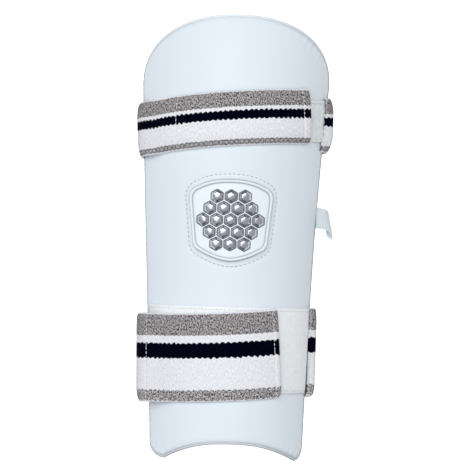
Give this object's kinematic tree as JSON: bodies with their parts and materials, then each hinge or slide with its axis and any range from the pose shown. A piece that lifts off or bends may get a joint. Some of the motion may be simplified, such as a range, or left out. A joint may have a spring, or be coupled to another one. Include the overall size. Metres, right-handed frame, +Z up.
{
  "type": "elbow guard",
  "caption": "Padded forearm and elbow guard with a domed elbow end, an arched wrist end, a moulded badge and striped elastic straps that close with hook-and-loop tape.",
  "frame": {"origin": "on the surface that the guard lies on, under the middle of its box", "axes": "+X to the right of the face, +Y along the arm towards the elbow end, +Z up out of the face"},
  "size_m": [0.1203, 0.2671, 0.0447],
  "materials": {
    "cover": "smooth white coated leather with a faint grain and a soft sheen",
    "welt": "rolled seam in the same white coated leather",
    "badge": "moulded white plate with silver studs",
    "loop_tape": "pale fuzzy loop pile",
    "hook_tape": "white hook tape",
    "elastic": "knitted elastic with grey, white and navy stripes",
    "ribbon": "thin white satin ribbon"
  },
  "bodies": {
    "root": {"guard_body": "cover", "edge_welt": "welt", "badge": "badge", "upper_loop_tape": "loop_tape", "lower_loop_tape": "loop_tape", "upper_hook_tape": "hook_tape", "lower_hook_tape": "hook_tape", "upper_strap": "elastic", "lower_strap": "elastic", "side_label": "ribbon"}
  },
  "joints": []
}
